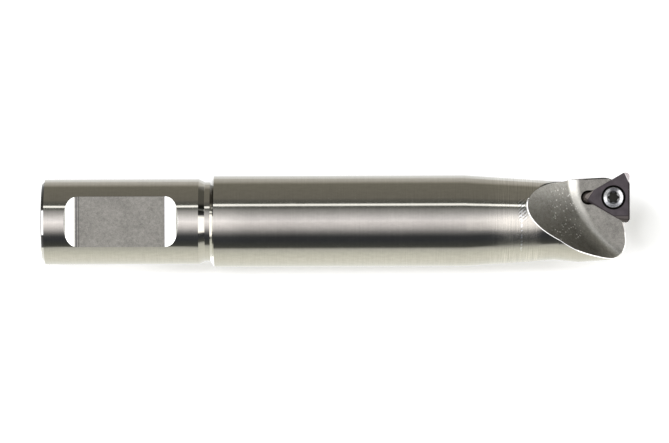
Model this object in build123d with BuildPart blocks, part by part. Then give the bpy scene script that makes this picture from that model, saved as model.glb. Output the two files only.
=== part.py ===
"""Internal turning bar with a screwed-on triangular insert.

The bar lies along +X. The origin is the middle of the shank's rear face, +Z is the side that
carries the clamping flat and the rake face, and +Y is the side that the cutting corner points to.
The rake face is level with the bar's axis. All sizes are in millimetres and degrees.
"""

import math
import os

from build123d import *

os.makedirs("parts", exist_ok=True)

# ---- shank ---------------------------------------------------------------------------------------
shank_diameter = 25.0
shank_length = 45.7  # rear face to the edge of the relief groove
shank_end_chamfer = 0.8

# ---- clamping flat for the holder's side screws --------------------------------------------------
flat_depth = 2.35
flat_length = 25.4  # level part, between the two run-outs
flat_middle = 23.3  # from the rear face
flat_runout_radius = 4.4

# ---- relief groove between shank and body --------------------------------------------------------
groove_diameter = 23.2
groove_lead_in = 1.8  # sloping wall on the shank side
groove_floor = 1.5
groove_lead_out = 1.1  # steep wall on the body side

# ---- body and tapered neck -----------------------------------------------------------------------
body_diameter = 26.75
body_length = 73.35
neck_length = 27.8
neck_taper = 3.85  # off the diameter, over the neck's length

# ---- head: turned on an axis that leans towards the cutting corner -------------------------------
head_relief = 2.35  # head's diameter below the body's
head_tilt = 3.4
head_taper = 0.6  # each side, towards the front
head_shoulder = 4.55  # cone from the neck out to the head
head_pivot = 2.2  # from the end of that cone to where the head's axis crosses the bar's
head_corner_radius = 5.5
front_tilt = 4.0  # front face leans back towards the cutting corner
head_reach = 15.9  # from the end of the cone to the cutting edge
front_setback = 1.6  # front face behind the cutting edge, on the bar's axis

# ---- chip gullet: one pass of a large cutter, sloping down to the flat face round the insert -----
face_drop = 0.4  # flat face below the rake face
gullet_radius = 36.0
gullet_slope = 35.9
gullet_skew = 5.6
gullet_lead = 0.9  # the cut's lowest line meets the flat face this far before the shoulder's end
gullet_overhang = 2.2  # that point beyond the body's side
gullet_blend_radius = 4.5
rim_break = 0.2  # small bevel on the rim of the flat face and the head's side of the gullet

# ---- insert --------------------------------------------------------------------------------------
insert_circle = 9.525  # inscribed circle
insert_thickness = 3.18
insert_clearance = 11.0  # flanks lean in under the cutting edges
insert_nose_radius = 1.2
insert_overhang = 0.65  # cutting corner beyond the body's side
seat_angle = 60.0  # included angle of the screw's seat
seat_margin = 0.45  # between the screw's head and the mouth of its seat
hole_clearance = 0.2  # round the screw's shank

# ---- chip breaker ground across each corner of the insert ----------------------------------------
breaker_run = 4.5  # along the cutting edge, from its sharp corner
breaker_angle = 25.0  # between the breaker's back wall and the cutting edge
breaker_width = 1.15
breaker_depth = 0.35
breaker_wall = 0.35  # plan width of the sloping back wall

# ---- pocket --------------------------------------------------------------------------------------
pocket_clearance = 0.02
corner_slot_width = 4.2  # round-ended slot that clears the insert's inner corner
corner_slot_gap = 1.2  # between its end and the insert's corner
corner_slot_depth = 0.3  # below the pocket's floor
corner_slot_rounding = 1.0  # where its floor meets its wall
wall_nose_length = 3.2  # bevel where the pocket's wall meets the front face
wall_nose_width = 0.8

# ---- insert screw --------------------------------------------------------------------------------
screw_diameter = 4.0
screw_length = 7.0
screw_end_chamfer = 0.5
screw_head_diameter = 6.2
screw_rim = 0.3
thread_clearance = 0.05
head_edge_width = 0.3  # flat ring round the dished top
dish_depth = 0.35
recess_depth = 1.5
recess_core_diameter = 2.6
recess_lobe_circle = 2.66
recess_lobe_radius = 0.42
recess_blend = 0.2

# ---- places that follow from the sizes above -----------------------------------------------------
shank_radius = shank_diameter / 2
body_radius = body_diameter / 2
neck_end_radius = body_radius - neck_taper / 2
head_radius = body_radius - head_relief / 2
groove_start = shank_length + groove_lead_in
groove_end = groove_start + groove_floor
body_start = groove_end + groove_lead_out
neck_start = body_start + body_length
neck_end = neck_start + neck_length
head_start = neck_end + head_shoulder
tip_reach = head_start + head_reach  # overall length
face_z = -face_drop
pocket_z = -insert_thickness
inradius = insert_circle / 2
corner_rise = (insert_circle - 2 * insert_nose_radius) * math.sin(math.radians(60)) + insert_nose_radius
insert_x = tip_reach - inradius
insert_offset = body_radius + insert_overhang - corner_rise  # insert's centre from the bar's axis
insert_middle = Vector(insert_x, insert_offset, 0)
insert_hole_radius = screw_diameter / 2 + hole_clearance
insert_mouth_radius = screw_head_diameter / 2 + seat_margin
sharp_corner = insert_circle  # from the insert's centre to where its flanks would meet
overrun = 10.0  # how far each cutting form runs past the metal
side_margin = 2.0  # the gullet's form is this much wider than the body
seam_angle = 22.5  # the turned surfaces start here, from +Y towards +Z, well beside the clamping flat

# ---- form of the chip gullet ---------------------------------------------------------------------
cut_slope = math.radians(gullet_slope)
cut_heading = math.radians(-gullet_skew)
cut_direction = Vector(
    math.cos(cut_slope) * math.cos(cut_heading),
    math.cos(cut_slope) * math.sin(cut_heading),
    -math.sin(cut_slope),
)
cut_upward = Vector(
    math.sin(cut_slope) * math.cos(cut_heading),
    math.sin(cut_slope) * math.sin(cut_heading),
    math.cos(cut_slope),
)
gullet_foot = Vector(head_start - gullet_lead, body_radius + gullet_overhang, face_z)
cutter_axis_point = gullet_foot + cut_upward * gullet_radius

with BuildPart() as gullet_form:
    with BuildSketch(Plane(origin=cutter_axis_point, z_dir=cut_direction)):
        Circle(gullet_radius)
    extrude(amount=2 * gullet_radius + overrun, both=True)
    with BuildSketch(Plane.XY.offset(face_z)):
        with Locations((tip_reach, 0)):
            Rectangle(2 * (tip_reach - neck_start), body_diameter + side_margin)
    extrude(amount=body_radius + overrun, mode=Mode.INTERSECT)
    foot_edge = gullet_form.edges().group_by(Axis.Z)[0].sort_by(Axis.X)[0]
    fillet(foot_edge, gullet_blend_radius)

# ---- form of the clamping flat: level cut with a concave run-out at each end ---------------------
flat_z = shank_radius - flat_depth
with BuildPart() as flat_form:
    with BuildSketch(Plane.XZ) as flat_profile:
        with Locations((flat_middle, flat_z)):
            Rectangle(
                flat_length + 2 * flat_runout_radius,
                flat_runout_radius + flat_depth,
                align=(Align.CENTER, Align.MIN),
            )
        fillet(flat_profile.vertices().group_by(Axis.Y)[0], flat_runout_radius)
    extrude(amount=shank_radius, both=True)

# ---- form of the pocket: the insert's own wedge shape, a hair larger -----------------------------
with BuildPart() as pocket_form:
    with BuildSketch(Plane(origin=insert_middle)):
        RegularPolygon(inradius + pocket_clearance, 3, major_radius=False, rotation=180)
    extrude(amount=pocket_z, taper=insert_clearance)

# ---- form of the corner slot, cut with a bull-nosed cutter ---------------------------------------
slot_radius = corner_slot_width / 2
insert_corner_x = insert_x - sharp_corner
slot_end_x = insert_corner_x + insert_nose_radius - corner_slot_gap + slot_radius
wall_start_x = insert_corner_x + slot_radius * math.sqrt(3)
slot_middle_x = (slot_end_x + wall_start_x) / 2
slot_z = pocket_z - corner_slot_depth
with BuildPart() as slot_form:
    with BuildSketch(Plane.XY.offset(slot_z)):
        with Locations((slot_middle_x, insert_offset)):
            SlotCenterToCenter(wall_start_x - slot_end_x, corner_slot_width)
    extrude(amount=body_radius)
    floor_edges = slot_form.faces().sort_by(Axis.Z)[0].edges()
    fillet(floor_edges, corner_slot_rounding)

# ---- bar -----------------------------------------------------------------------------------------
turning_plane = Plane.XY.rotated((seam_angle, 0, 0))
neck_fall = (body_radius - neck_end_radius) / neck_length
shoulder_rise = (head_radius - neck_end_radius) / head_shoulder
shoulder_root = 2 * head_shoulder  # the shoulder's cone runs on inside the neck
head_front = head_reach - head_pivot
head_narrowing = math.tan(math.radians(head_taper))
head_plane = Plane(origin=(head_start + head_pivot, 0, 0)).rotated((0, 0, head_tilt))
front_x = tip_reach - front_setback
front_plane = Plane(origin=(front_x, 0, 0), z_dir=(1, 0, 0)).rotated((0, 0, front_tilt))
wall_way = Vector(1, 0, 0).rotate(Axis.Z, -30)
wall_middle = insert_middle + Vector(-inradius, 0, 0).rotate(Axis.Z, 60)
wall_end = wall_middle + wall_way * ((front_x - wall_middle.X) / wall_way.X)
bevel_start = wall_end - wall_way * wall_nose_width
bevel_end = wall_end + Vector(0, -wall_nose_length, 0).rotate(Axis.Z, front_tilt)

with BuildPart() as bar:
    # turned between centres: shank, groove, body and tapered neck
    with BuildSketch(turning_plane):
        with BuildLine():
            Polyline(
                (0, 0),
                (0, shank_radius - shank_end_chamfer),
                (shank_end_chamfer, shank_radius),
                (shank_length, shank_radius),
                (groove_start, groove_diameter / 2),
                (groove_end, groove_diameter / 2),
                (body_start, body_radius),
                (neck_start, body_radius),
                (head_start, neck_end_radius - neck_fall * head_shoulder),
                (head_start, 0),
                close=True,
            )
        make_face()
    revolve(axis=Axis.X)

    # the head is turned on its own axis, which crosses the bar's axis just past the shoulder
    with BuildSketch(head_plane):
        with BuildLine():
            Polyline(
                (-head_pivot - shoulder_root, 0),
                (-head_pivot - shoulder_root, head_radius - shoulder_root * shoulder_rise),
                (-head_pivot, head_radius),
                (head_front, head_radius - head_reach * head_narrowing),
                (head_front, 0),
                close=True,
            )
        make_face()
    revolve(axis=Axis(head_plane.origin, head_plane.x_dir))

    # front face, leaning back towards the cutting corner, with its rim rounded over
    with BuildSketch(front_plane):
        Circle(body_diameter)
    extrude(amount=overrun, mode=Mode.SUBTRACT)
    front_rim = bar.faces().sort_by(Axis.X)[-1].edges()
    fillet(front_rim, head_corner_radius)

    # clamping flat and chip gullet
    add(flat_form.part, mode=Mode.SUBTRACT)
    add(gullet_form.part, mode=Mode.SUBTRACT)

    # the rim of the flat face is broken, round the front and back along both of the head's sides
    face_edges = bar.faces().filter_by(Axis.Z).sort_by(Axis.Z)[0].edges()
    chamfer(face_edges.sort_by(Axis.X)[-1], rim_break)

    # insert pocket, and the slot that keeps its inner corner clear
    add(pocket_form.part, mode=Mode.SUBTRACT)
    add(slot_form.part, mode=Mode.SUBTRACT)

    # the pocket's wall is bevelled back where it meets the front face
    with BuildSketch(Plane.XY.offset(pocket_z)):
        with BuildLine():
            Polyline(
                (bevel_start.X, bevel_start.Y),
                (bevel_end.X, bevel_end.Y),
                (tip_reach, bevel_end.Y),
                (tip_reach, bevel_start.Y),
                close=True,
            )
        make_face()
    extrude(amount=insert_thickness, mode=Mode.SUBTRACT)

    # tapped hole, through to the underside
    with Locations(Plane(origin=(insert_x, insert_offset, pocket_z))):
        Hole(screw_diameter / 2 + thread_clearance)

bar.part.label = "bar"
export_step(bar.part, "parts/bar.step")

# ---- insert --------------------------------------------------------------------------------------
with BuildPart() as insert:
    with BuildSketch(Plane(origin=insert_middle)):
        outline = RegularPolygon(inradius, 3, major_radius=False, rotation=180)
        fillet(outline.vertices(), insert_nose_radius)
    extrude(amount=-insert_thickness, taper=insert_clearance)
    with Locations(Plane(origin=insert_middle)):
        CounterSinkHole(insert_hole_radius, insert_mouth_radius, counter_sink_angle=seat_angle)

    # each breaker is a shallow wedge whose back wall runs across the corner at an angle to the
    # cutting edge; its floor climbs outwards to the nose
    for corner_angle in (60, 180, 300):
        corner = insert_middle + Vector(sharp_corner, 0, 0).rotate(Axis.Z, corner_angle)
        edge_way = Vector(1, 0, 0).rotate(Axis.Z, corner_angle + 180 + 30)
        wall_way = edge_way.rotate(Axis.Z, breaker_angle)
        wall_foot = corner + edge_way * breaker_run
        outward = wall_way.rotate(Axis.Z, 90)
        with BuildSketch(Plane(origin=wall_foot, x_dir=outward, z_dir=wall_way)):
            with BuildLine():
                Polyline(
                    (0, 0),
                    (breaker_wall, -breaker_depth),
                    (breaker_width, 0),
                    close=True,
                )
            make_face()
        extrude(amount=breaker_run, both=True, mode=Mode.SUBTRACT)

insert.part.label = "insert"
export_step(insert.part, "parts/insert.step")

# ---- insert screw --------------------------------------------------------------------------------
seat_slope = math.tan(math.radians(seat_angle / 2))
screw_radius = screw_diameter / 2
head_rim_z = -seat_margin / seat_slope
head_top_z = head_rim_z + screw_rim
head_foot_z = -(insert_mouth_radius - screw_radius) / seat_slope
screw_end_z = head_top_z - screw_length
dish_radius = screw_head_diameter / 2 - head_edge_width

with BuildPart() as insert_screw:
    with BuildSketch(Plane.XZ.offset(-insert_offset)):
        with BuildLine():
            Polyline(
                (insert_x, head_top_z - dish_depth),
                (insert_x + recess_core_diameter / 2, head_top_z - dish_depth),
                (insert_x + dish_radius, head_top_z),
                (insert_x + screw_head_diameter / 2, head_top_z),
                (insert_x + screw_head_diameter / 2, head_rim_z),
                (insert_x + screw_radius, head_foot_z),
                (insert_x + screw_radius, screw_end_z + screw_end_chamfer),
                (insert_x + screw_radius - screw_end_chamfer, screw_end_z),
                (insert_x, screw_end_z),
                close=True,
            )
        make_face()
    revolve(axis=Axis((insert_x, insert_offset, 0), (0, 0, 1)))

    # six-lobe socket
    with BuildSketch(Plane(origin=(insert_x, insert_offset, head_top_z))) as socket:
        Circle(recess_core_diameter / 2)
        with PolarLocations(recess_lobe_circle / 2, 6):
            Circle(recess_lobe_radius)
        inner_corners = socket.vertices()
        fillet(inner_corners, recess_blend)
    extrude(amount=-recess_depth, mode=Mode.SUBTRACT)

insert_screw.part.label = "insert_screw"
export_step(insert_screw.part, "parts/insert_screw.step")
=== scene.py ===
"""Finishes, studio and camera for an internal turning bar with a screwed-on triangular insert.

The bar lies along +X on a pale floor, with its clamping flat and its rake face up.
"""

import math

import bpy
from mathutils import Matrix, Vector


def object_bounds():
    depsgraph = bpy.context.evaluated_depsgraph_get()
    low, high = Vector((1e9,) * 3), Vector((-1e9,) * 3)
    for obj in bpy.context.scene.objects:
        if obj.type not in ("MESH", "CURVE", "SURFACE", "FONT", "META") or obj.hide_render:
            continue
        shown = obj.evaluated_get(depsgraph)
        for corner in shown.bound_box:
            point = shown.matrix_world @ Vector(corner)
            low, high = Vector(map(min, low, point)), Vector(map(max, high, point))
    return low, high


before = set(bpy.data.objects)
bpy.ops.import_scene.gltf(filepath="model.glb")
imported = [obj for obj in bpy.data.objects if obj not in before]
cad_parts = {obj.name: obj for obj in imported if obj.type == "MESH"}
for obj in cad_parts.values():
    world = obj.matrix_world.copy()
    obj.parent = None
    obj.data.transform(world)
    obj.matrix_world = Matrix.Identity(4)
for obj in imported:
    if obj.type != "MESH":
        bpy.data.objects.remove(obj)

cad_low, cad_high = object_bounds()
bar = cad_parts["bar"]
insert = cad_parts["insert"]
insert_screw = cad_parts["insert_screw"]

# ---- camera --------------------------------------------------------------------------------------
# Looks straight down on the clamping flat and the rake face, from well above the bar, with the
# cutting end to the right.
camera_height = 1.2  # above the bar's axis
view_middle_x = 0.08526
view_middle_y = -0.00013
view_width = 0.1958  # what the frame takes in at the height of the axis
view_turn = math.radians(-0.19)

camera_lens = bpy.data.cameras.new("camera")
camera_lens.sensor_width = 36
camera_lens.lens = camera_lens.sensor_width * camera_height / view_width
camera = bpy.data.objects.new("camera", camera_lens)
camera.location = (view_middle_x, view_middle_y, camera_height)
camera.rotation_euler.z = view_turn
bpy.context.scene.collection.objects.link(camera)
bpy.context.scene.camera = camera
bpy.context.scene.view_settings.view_transform = "Standard"


# ---- studio --------------------------------------------------------------------------------------
# A light tent: a soft white roof with its bright middle over the bar, a dark card along each side,
# a narrow gap of light beside one of them, and white ends. A pale floor takes the bar's shadow.
class Wire:
    """A node's output. Sums and products of wires and numbers add the Math nodes they need."""

    def __init__(self, tree, output):
        self.tree = tree
        self.output = output

    @classmethod
    def node(cls, tree, kind, settings, values, output=0):
        """Adds a node, makes its settings, then sets or links its inputs."""
        made = tree.nodes.new(kind)
        for name, setting in settings.items():
            if name == "stops":
                ramp = made.color_ramp.elements
                ramp.remove(ramp[1])
                ramp[0].position, ramp[0].color = setting[0]
                for position, colour in setting[1:]:
                    ramp.new(position).color = colour
            else:
                setattr(made, name, setting)
        for name, value in values.items():
            if isinstance(value, Wire):
                tree.links.new(value.output, made.inputs[name])
            else:
                made.inputs[name].default_value = value
        return cls(tree, made.outputs[output])

    def maths(self, operation, *others):
        values = dict(enumerate((self, *others)))
        return Wire.node(self.tree, "ShaderNodeMath", {"operation": operation}, values)

    def __add__(self, other):
        return self.maths("ADD", other)

    def __sub__(self, other):
        return self.maths("SUBTRACT", other)

    def __rsub__(self, other):
        values = {0: other, 1: self}
        return Wire.node(self.tree, "ShaderNodeMath", {"operation": "SUBTRACT"}, values)

    def __mul__(self, other):
        return self.maths("MULTIPLY", other)

    def __abs__(self):
        return self.maths("ABSOLUTE")

    __radd__ = __add__
    __rmul__ = __mul__

    def step(self, low, high):
        """0 at low, 1 at high, and a smooth rise between; low may be the larger."""
        settings = {"interpolation_type": "SMOOTHSTEP"}
        values = {"Value": self, "From Min": low, "From Max": high}
        return Wire.node(self.tree, "ShaderNodeMapRange", settings, values)

    def span(self, start, full, last_full, end):
        """0 up to start, 1 from full to last_full, and 0 again from end."""
        return self.step(start, full) * self.step(end, last_full)

    def near(self, middle, within, beyond):
        """1 within one distance of the middle, and 0 beyond another."""
        return abs(self - middle).step(beyond, within)


def parts(vector):
    """The three numbers of a vector."""
    tree = vector.tree
    return [Wire.node(tree, "ShaderNodeSeparateXYZ", {}, {0: vector}, axis) for axis in "XYZ"]


def distance(first, second):
    """How far off a point is, from its distances along two directions at right angles."""
    return (first * first + second * second).maths("SQRT")


def mixed(share, first, second):
    """The first colour where share is 0 and the second where it is 1."""
    values = {"Factor": share, 6: first, 7: second}
    return Wire.node(share.tree, "ShaderNodeMix", {"data_type": "RGBA"}, values, 2)


# What a polished bar sees round its axis, by the angle in degrees from straight up towards +Y.
tent_stops = (
    (-180, (1.06, 1.08, 1.08)),
    (-140, (1.02, 1.05, 1.00)),
    (-110, (0.95, 0.97, 0.91)),
    (-90, (0.80, 0.83, 0.77)),
    (-79, (0.67, 0.69, 0.66)),
    (-75, (0.55, 0.57, 0.55)),
    (-70, (0.10, 0.105, 0.10)),  # the dark card on the -Y side
    (-62, (0.065, 0.07, 0.07)),
    (-50, (0.05, 0.055, 0.065)),
    (-40, (0.065, 0.07, 0.08)),
    (-34, (0.17, 0.175, 0.19)),
    (-27, (0.40, 0.40, 0.43)),
    (-20, (0.74, 0.74, 0.79)),
    (-12, (1.07, 1.06, 1.13)),
    (-4, (1.32, 1.31, 1.40)),
    (0, (1.47, 1.47, 1.58)),  # the middle of the roof
    (4, (1.30, 1.30, 1.41)),
    (12, (1.03, 1.04, 1.11)),
    (20, (0.70, 0.71, 0.75)),
    (28, (0.46, 0.47, 0.49)),
    (34, (0.19, 0.20, 0.20)),
    (38, (0.13, 0.14, 0.13)),
    (39.5, (1.75, 1.8, 1.85)),  # the gap of light
    (43.5, (1.75, 1.8, 1.85)),
    (45, (0.12, 0.13, 0.12)),  # the dark card on the +Y side
    (55, (0.16, 0.16, 0.15)),
    (60, (0.21, 0.205, 0.185)),
    (108, (0.235, 0.23, 0.20)),
    (117, (0.46, 0.45, 0.42)),
    (135, (0.76, 0.77, 0.76)),
    (155, (1.00, 1.03, 1.05)),
    (180, (1.15, 1.17, 1.2)),
)
white = (1, 1, 1, 1)
end_white = (2.0, 2.0, 2.0, 1)
room_light = (0.62, 0.62, 0.62, 1)  # what falls on matte surfaces

world = bpy.data.worlds.new("tent")
world.use_nodes = True
bpy.context.scene.world = world
tent = world.node_tree
tent.nodes.clear()
along, across, upward = parts(Wire.node(tent, "ShaderNodeTexCoord", {}, {}, "Generated"))
turn = across.maths("ARCTAN2", upward) * (0.5 / math.pi) + 0.5
stops = [((angle + 180) / 360, (*colour, 1)) for angle, colour in tent_stops]
round_axis = Wire.node(tent, "ShaderNodeValToRGB", {"stops": stops}, {0: turn}, "Color")
front_end = along.step(0.13, 0.35) * across.span(-0.46, -0.38, 0.14, 0.22)
rear_end = along.step(-0.1, -0.3) * across.span(-0.56, -0.46, 0.22, 0.3)
seen_in_metal = mixed(front_end + rear_end, round_axis, end_white)
is_glossy = Wire.node(tent, "ShaderNodeLightPath", {}, {}, "Is Glossy Ray")
is_camera = Wire.node(tent, "ShaderNodeLightPath", {}, {}, "Is Camera Ray")
shown = mixed(is_camera, mixed(is_glossy, room_light, seen_in_metal), white)
sky = Wire.node(tent, "ShaderNodeBackground", {}, {"Color": shown, "Strength": 1.0})
world_output = tent.nodes.new("ShaderNodeOutputWorld")
tent.links.new(sky.output, world_output.inputs["Surface"])

floor_size = 8
floor_middle_x = 0.1
bpy.ops.object.select_all(action="DESELECT")
bpy.ops.mesh.primitive_plane_add(size=floor_size, location=(floor_middle_x, 0, cad_low.z))
floor = bpy.context.object
floor.name = "floor"
floor_paint = bpy.data.materials.new("floor_paint")
floor_paint.use_nodes = True
tree = floor_paint.node_tree
tree.nodes.clear()

# For the camera alone the floor glows, so that it shows white. It glows less in painted shadows:
# past the head, and along the bar's -Y side. These places are in millimetres from its middle.
spot = Wire.node(tree, "ShaderNodeTexCoord", {}, {}, "Object")
spot_x, spot_y = (number * 1000 for number in parts(spot)[:2])
head_shade_x = 78
head_shade_y = -2.3
side_shade_y = -13.2
by_head = distance(spot_x - head_shade_x, (spot_y - head_shade_y) * 0.8).step(10.5, 3)
by_side = spot_y.near(side_shade_y, 0.4, 3.2) * spot_x.span(-80, -55, 45, 66)
shaded = by_head.maths("MAXIMUM", by_side * 0.6)
open_glow = (0.50, 0.50, 0.50, 1)
shaded_glow = (0.15, 0.152, 0.138, 1)
glow_colour = mixed(shaded, open_glow, shaded_glow)
lit = Wire.node(tree, "ShaderNodeBsdfDiffuse", {}, {"Color": (0.9, 0.9, 0.9, 1)})
glow = Wire.node(tree, "ShaderNodeEmission", {}, {"Color": glow_colour, "Strength": 1.0})
both = Wire.node(tree, "ShaderNodeAddShader", {}, {0: lit, 1: glow})
is_camera = Wire.node(tree, "ShaderNodeLightPath", {}, {}, "Is Camera Ray")
seen = Wire.node(tree, "ShaderNodeMixShader", {}, {0: is_camera, 1: lit, 2: both})
floor_output = tree.nodes.new("ShaderNodeOutputMaterial")
tree.links.new(seen.output, floor_output.inputs["Surface"])
floor.data.materials.append(floor_paint)
floor.visible_glossy = False

sun_strength = 1.2
sun_spread = math.radians(35)
sun_way = Vector((0.35, -0.3, -1))
sun_light = bpy.data.lights.new("key", "SUN")
sun_light.energy = sun_strength
sun_light.angle = sun_spread
sun = bpy.data.objects.new("key", sun_light)
sun.rotation_euler = sun_way.to_track_quat("-Z", "Y").to_euler()
sun.visible_glossy = False
bpy.context.scene.collection.objects.link(sun)


# ---- bar -----------------------------------------------------------------------------------------
# One piece of nickel-grey steel, turned and polished, with a milled clamping flat and chip gullet.
# Turning leaves fine rings round it; the milled faces are matte, mottled and lightly marked.
def pattern(stretched, detail=2.0, rough=0.5):
    """Noise from 0 to 1 with features about one unit apart in the coordinates given."""
    values = {"Vector": stretched, "Scale": 1.0, "Detail": detail, "Roughness": rough}
    return Wire.node(stretched.tree, "ShaderNodeTexNoise", {"normalize": True}, values)


def cells(stretched):
    """Distance from the nearest of the points scattered about one unit apart."""
    values = {"Vector": stretched, "Scale": 1.0}
    return Wire.node(stretched.tree, "ShaderNodeTexVoronoi", {}, values, "Distance")


def vector_maths(operation, vector, others, output="Vector"):
    """A Vector Math node on a vector and what the operation needs beside it."""
    settings = {"operation": operation}
    values = {0: vector, **others}
    return Wire.node(vector.tree, "ShaderNodeVectorMath", settings, values, output)


def scaled(vector, factor):
    return vector_maths("SCALE", vector, {"Scale": factor})


def reach(vector, way):
    """How far the vector goes along a direction."""
    return vector_maths("DOT_PRODUCT", vector, {1: tuple(way)}, "Value")


def joined(first, second, third=0.0):
    """Three numbers as one vector."""
    values = {"X": first, "Y": second, "Z": third}
    return Wire.node(first.tree, "ShaderNodeCombineXYZ", {}, values)


def tinted(strength, colour):
    """The colour, stronger or weaker from place to place."""
    return joined(*(strength * share for share in colour))


def coated(colour, *coats):
    """The colour with each coat laid over it in turn, as its mask and its tone."""
    for mask, tone in coats:
        colour = mixed(mask, colour, tone)
    return colour


def finish(name):
    """A new material, its node tree, and its place in millimetres as a vector and three numbers."""
    material = bpy.data.materials.new(name)
    material.use_nodes = True
    tree = material.node_tree
    tree.nodes.clear()
    place = scaled(Wire.node(tree, "ShaderNodeTexCoord", {}, {}, "Object"), 1000)
    return material, tree, place, *parts(place)


def surface(tree, values):
    """Ends the tree in one Principled shader."""
    shader = Wire.node(tree, "ShaderNodeBsdfPrincipled", {}, values)
    output = tree.nodes.new("ShaderNodeOutputMaterial")
    tree.links.new(shader.output, output.inputs["Surface"])


bar_steel, tree, place, x, y, z = finish("bar_steel")
mean_radius = 13
arc = y.maths("ARCTAN2", z) * mean_radius  # round the bar, from the top towards +Y

# the clamping flat: its level part, and the hollow run-out at each end of it
flat_middle = 23.3
half_level = 12.7
run_out_radius = 4.4
run_out_centre_z = 14.55
past_level = (abs(x - flat_middle) - half_level).maths("MAXIMUM", 0)
from_flat = distance(past_level, z - run_out_centre_z) - run_out_radius
flat = from_flat.step(0.04, 0.01)
level = flat * x.near(flat_middle, half_level - 0.05, half_level + 0.05)
run_outs = flat * (1 - level)

# the chip gullet, cut by one pass of a round cutter that is laid over and a little skewed
cutter_radius = 36
cutter_foot = Vector((154.9, 15.575, -0.4))
cutter_up = Vector((0.5836, -0.0572, 0.8100))
cutter_side = Vector((0.0976, 0.9952, 0))
face_z = -0.4  # the flat face that the gullet runs into
above = reach(place, cutter_up) - (cutter_foot.dot(cutter_up) + cutter_radius)
beside = reach(place, cutter_side) - cutter_foot.dot(cutter_side)
from_cutter = distance(above, beside) - cutter_radius
gullet = from_cutter.step(0.05, 0.01) * z.step(face_z - 0.06, face_z - 0.02) * x.step(140, 141)

# the blend between gullet and face, along a line that bends forward on its way to the -Y side
blend_start_x = 154.9
blend_start_y = 11.7
blend_bend = 0.0288
from_start = blend_start_y - y
past_blend = x - blend_start_x - from_start * from_start * blend_bend

# the walls of the insert's pocket and of the slot behind its corner
pocket_walls = z.span(-3.6, -3.5, face_z - 0.07, face_z - 0.03) * y.step(-2.4, -2.1)
pocket_walls = pocket_walls * (y - 0.05 * x).step(3.6, 3.4) * x.span(157, 157.2, 169.2, 169.4)
pocket_walls = pocket_walls * (x + y).step(178.8, 178.5)

# the broken edge round the gullet, fainter on the neck's +Y side, and round the face: a painted
# highlight
from_edge = from_cutter - 0.14 * x.step(151, 154)
gullet_rim = (1 - gullet) * from_edge.step(0.28, 0.18) * x.step(140, 141) * z.step(-0.7, -0.6)
gullet_rim = gullet_rim * (1 - y.step(5, 7) * x.step(152, 149) * 0.75)
face_rim = z.span(-0.75, -0.62, face_z - 0.03, face_z - 0.01) * (1 - pocket_walls)
face_rim = face_rim * past_blend.step(-0.8, 0.2)
rim = gullet_rim.maths("MAXIMUM", face_rim)

# dark lines on the +Y side, beside the gullet's edge on the neck and along the head's face
# both lines are painted shade
neck_shade_line = (1 - gullet) * from_cutter.step(0.9, 0.5) * y.step(8.5, 9.5)
neck_shade_line = neck_shade_line * x.step(144, 147) * z.step(-2, -1)
head_shade_line = (y - 0.05 * x).step(3.84, 3.94) * x.step(157.5, 159) * z.step(-0.8, -0.6)

# turned skin: rings round it, streaks along it, a dimmer highlight on the body and a worn neck
polished_steel = (0.60, 0.565, 0.50)
polished_rough = 0.085
rings = pattern(joined(x * 3.0, arc * 0.10), 3.0)
streaks = pattern(joined(x * 0.35, arc * 0.9), 4.0, 0.6)
# the worn neck is rougher and more marked, and is also painted lighter: a painted sheen
wear_and_sheen = x.span(128, 136, 143, 147)
shade = 1 + (rings - 0.5) * (0.16 + 0.5 * wear_and_sheen) + (streaks - 0.5) * 0.22 + wear_and_sheen * 0.12
drift = pattern(joined(x * 0.05, arc * 0.02), 1.0)
# the highlight along the top of the body is painted dimmer, as painted shade
dimmed_highlight = arc.near(-0.5, 3.5, 6.5) * x.span(52, 62, 127, 136)
skin_colour = tinted(shade * (1 - dimmed_highlight * (0.08 + 0.28 * drift)), polished_steel)
skin_rough = polished_rough + (streaks - 0.5) * 0.08 + wear_and_sheen * 0.17 * arc.step(3.5, 1)

# a bright ring scored round the neck in dashes, and the slanting scratches beside it
scored_ring_x = 139.5
scratches_x = 139.9
dashes = pattern(joined(x * 0.5, arc * 1.5), 1.0).step(0.47, 0.56)
scored = x.near(scored_ring_x, 0.12, 0.34) * dashes * y.span(-9, -8, 5.2, 5.6)
flecks = pattern(joined(x * 1.5, y * 1.5), 2.0)
scratches = ((x - 1.15 * y) * 5.2 + flecks * 5).maths("SINE")
scratched = x.near(scratches_x, 0.6, 1.7) * y.span(-0.5, 1.0, 5.2, 6.6) * flecks.step(0.38, 0.5)
bright_scratches = scored.maths("MAXIMUM", scratches.step(0.2, 0.8) * scratched)
dark_scratches = scratches.step(-0.2, -0.8) * scratched

# matte milled faces, with painted highlights along the blend and up the gullet's ramp
milled_face = (0.236, 0.226, 0.202)
milled_flat = (0.248, 0.238, 0.213)
milled_painted_shine = (0.9, 0.88, 0.82)
milled_rough = 0.40
grain = pattern(place, 5.0, 0.65)
blotch = pattern(scaled(place, 0.22), 3.0)
fine = pattern(scaled(place, 4.0), 3.0, 0.7)
matte = 1 + (blotch - 0.5) * 0.45 + (grain - 0.5) * 0.9 + (fine - 0.5) * 0.9
low_down = y.step(3, -4)
on_blend = past_blend.span(-1.7, -0.6, 0.5, 2.4) * (1 - low_down * 0.6)
on_ramp = gullet * past_blend.step(0.5, -1.0)
behind_blend = gullet * past_blend.span(-6, -1.5, 0, 1.5) * low_down
ramp_painted_shine = 0.06 * y.step(-6, 1) + 0.10 * y.step(0, 9) + 0.07 * x.step(160, 166)
painted_shine = on_blend * (0.20 + 0.24 * y.step(-2, 7) + 0.46 * y.step(6, 11))
painted_shine = painted_shine + on_ramp * ramp_painted_shine * matte + behind_blend * 0.28 * matte
plain_face = tinted(matte, milled_face)
face_colour = vector_maths("ADD", plain_face, {1: tinted(painted_shine, milled_painted_shine)})
flat_colour = tinted(matte, milled_flat)
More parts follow.
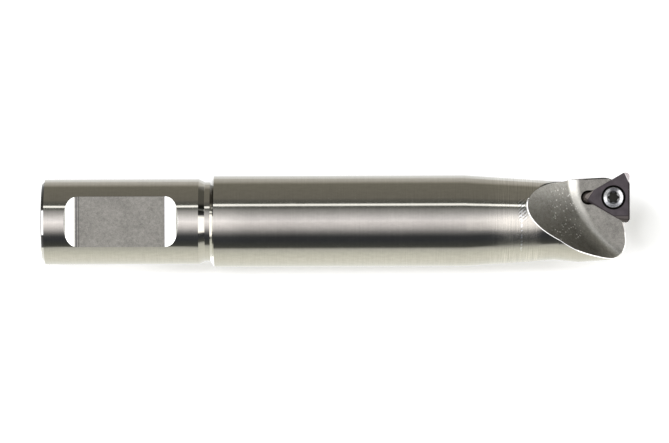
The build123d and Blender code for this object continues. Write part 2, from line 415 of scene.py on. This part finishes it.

# small dents in the ramp, close together across its middle, and slanting stripes over them
sparse = pattern(scaled(place, 0.7), 1.0).step(0.38, 0.50)
dented = on_ramp * x.near(153.2, 3.0, 6.0) * y.near(2, 6, 10) * sparse
# the dents are painted highlights, and the slanting stripes painted shade
dents = cells(scaled(place, 1.1)).step(0.32, 0.18) * dented
slant = (x + y + z) * (1.1 / 3) + 0.3
slanting_shade = cells(joined(slant, slant, slant)).step(0.34, 0.18) * dented

# the matte strip where the rear run-out begins, and two marks of the cutter there
rear_strip = flat * x.span(9.5, 9.9, 10.6, 10.8)
tool_marks = x.near(10.3, 0.12, 0.28).maths("MAXIMUM", x.near(10.95, 0.08, 0.2) * 0.8)

# the rear chamfer and both sides of the groove slant, so each has light and dark bands of its own.
# The chamfer's bands wrongly cover the upper half of the flat rear face too.
# these light and dark bands are painted reflections
chamfer = x.step(0.86, 0.80) * z.step(-2, 0)
chamfer_reflections = coated(
    mixed(y.step(3.0, 3.6), (0.95, 0.95, 0.95, 1), (0.035, 0.034, 0.03, 1)),
    (y.step(-3.4, -4.0), (0.02, 0.02, 0.02, 1)),
    (x.step(0.36, 0.22), (0.12, 0.12, 0.12, 1)),
    (y.step(-7.2, -7.6), (0.33, 0.325, 0.29, 1)),
    (y.step(10.1, 10.8), (0.24, 0.235, 0.21, 1)),
)
groove_rear = x.span(45.66, 45.74, 47.36, 47.46) * y.span(1.6, 2.0, 9.8, 10.5)
groove_rear_reflections = mixed(y.step(4.4, 5.4), (0.06, 0.058, 0.05, 1), (0.3, 0.29, 0.26, 1))
groove_front = x.span(48.96, 49.02, 50.08, 50.14)
groove_front_reflections = mixed(y.step(4.6, 5.4), (1, 1, 0.97, 1), (0.13, 0.125, 0.115, 1))

colour = coated(
    skin_colour,
    (bright_scratches * 0.9, white),
    (dark_scratches * 0.6, (0.1, 0.1, 0.1, 1)),
    # the milled faces, with their painted highlights
    (gullet, face_colour),
    # painted shade in slanting stripes, then painted highlights in the dents
    (slanting_shade * 0.55, (0.03, 0.03, 0.03, 1)),
    (dents * 0.75, (1.0, 0.98, 0.94, 1)),
    # a painted highlight along the broken edges
    (rim, (0.95, 0.94, 0.90, 1)),
    # painted shade lines on the +Y side
    (neck_shade_line, (0.06, 0.055, 0.05, 1)),
    (head_shade_line, (0.05, 0.046, 0.04, 1)),
    (level, flat_colour),
    # the run-outs painted near-white: a painted reflection of the tent's bright ends
    (run_outs, (1, 1, 0.98, 1)),
    (rear_strip, flat_colour),
    (flat * tool_marks * 0.7, (0.05, 0.05, 0.05, 1)),
    # painted reflections on the rear chamfer and the groove's two sides
    (chamfer, chamfer_reflections),
    (groove_rear, groove_rear_reflections),
    (groove_front, groove_front_reflections),
    # the pocket's and slot's walls painted dark: painted shade in these recesses
    (pocket_walls, (0.15, 0.13, 0.11, 1)),
)
milled = gullet.maths("MAXIMUM", level).maths("MAXIMUM", pocket_walls)
rough = skin_rough + (milled_rough - skin_rough) * milled

# the broken edges are rounded, so they face upwards more than the skin they border
edge_facing = (0.1, -0.1, 1.0, 1)
facing = Wire.node(tree, "ShaderNodeNewGeometry", {}, {}, "Normal")
tipped = vector_maths("NORMALIZE", mixed(rim * 0.85, facing, edge_facing), {})
relief = rings * 0.25 * (1 - level) * (1 - gullet) + (level + gullet) * (grain + fine) * 1.2
values = {"Distance": 0.00001, "Height": relief, "Normal": tipped}
bump = Wire.node(tree, "ShaderNodeBump", {}, values)
surface(tree, {"Base Color": colour, "Metallic": 1.0, "Roughness": rough, "Normal": bump})
bar.data.materials[0] = bar_steel

# ---- insert --------------------------------------------------------------------------------------
# A sintered and ground carbide triangle with a dark satin coating. The coating is thin on the
# facets ground across its corners, which show paler, most of all at the cutting corner.
insert_x = 166.94
insert_y = 6.65
dark_coating = (0.066, 0.056, 0.060)
coating, tree, place, x, y, z = finish("carbide_coating")
from_middle = distance(x - insert_x, y - insert_y)
cloud = pattern(scaled(place, 0.5), 4.0)
speckle = pattern(scaled(place, 5.0), 2.0)
coat_colour = tinted(1 + (cloud - 0.5) * 0.9 + (speckle - 0.5) * 0.3, dark_coating)

# the ground facets: palest at the cutting corner, with a painted highlight on the wall that ends
# its facet
wall_facing = Vector((0.878, 0.478, 0))
wall_reach = 155.79
facet = z.span(-0.4, -0.36, -0.03, -0.005) * from_middle.step(3.6, 3.7)
cutting = y.step(9, 10)
past_wall = reach(place, wall_facing) - wall_reach
facet_colour = coated(
    mixed(cutting, (0.12, 0.105, 0.10, 1), (0.64, 0.58, 0.59, 1)),
    (x.step(163, 162), (0.24, 0.21, 0.195, 1)),
    (cutting * past_wall.span(-0.05, 0.05, 0.3, 0.42), (1, 0.97, 0.97, 1)),
)

# the third corner and the line behind it, the dark line down two sides, and the screw's seat
side_facing = Vector((-0.533, -0.846, 0))
front_edge = x.step(171.1, 171.25) * y.step(11.3, 10.9)
to_side = reach(joined(x - insert_x, y - insert_y), side_facing)
side_line = to_side.step(4.35, 4.55).maths("MAXIMUM", front_edge)
forward = x.step(166, 167)
colour = coated(
    coat_colour,
    (facet, facet_colour),
    (forward * y.step(1.25, 1.1), (0.088, 0.076, 0.070, 1)),
    (forward * y.near(1.3, 0.08, 0.2) * 0.6, (0.03, 0.025, 0.024, 1)),
    (side_line * 0.7, (0.02, 0.015, 0.015, 1)),
    # the screw's seat, painted near-black as shade
    (from_middle.step(3.62, 3.5), (0.004, 0.004, 0.005, 1)),
)
metal = 0.8 - 0.7 * facet
rough = 0.35 + 0.25 * facet
surface(tree, {"Base Color": colour, "Metallic": metal, "Roughness": rough})
insert.data.materials[0] = coating

# ---- insert screw --------------------------------------------------------------------------------
# A small hardened steel screw with a dished, polished head. Its six-lobe socket is forged, and is
# painted black inside as shade in the recess; the head's outer edge is painted dark as shade too.
screw_finish, tree, place, x, y, z = finish("screw_finish")
from_middle = distance(x - insert_x, y - insert_y)
socket = z.step(-0.80, -0.86)
shaded_edge = from_middle.step(2.82, 2.9)
black = socket.maths("MAXIMUM", shaded_edge)

# the head is painted darker, as shade, in the dish round its socket and towards its +Y and -Y sides
wear = pattern(scaled(place, 2.5), 3.0)
in_dish = from_middle.step(2.2, 1.8)
plus_y_side = (y - 0.5 * x).step(-75.9, -75.1)
minus_y_side = y.step(4.9, 4.2)
bright = 0.62 + (wear - 0.5) * 1.1
bright = bright * (1 - 0.75 * in_dish) * (1 - 0.6 * plus_y_side) * (1 - 0.35 * minus_y_side)
colour = mixed(black, joined(bright, bright, bright * 1.01), (0.03, 0.03, 0.026, 1))
surface(tree, {"Base Color": colour, "Metallic": 1.0, "Roughness": 0.18 + black * 0.3})
insert_screw.data.materials[0] = screw_finish
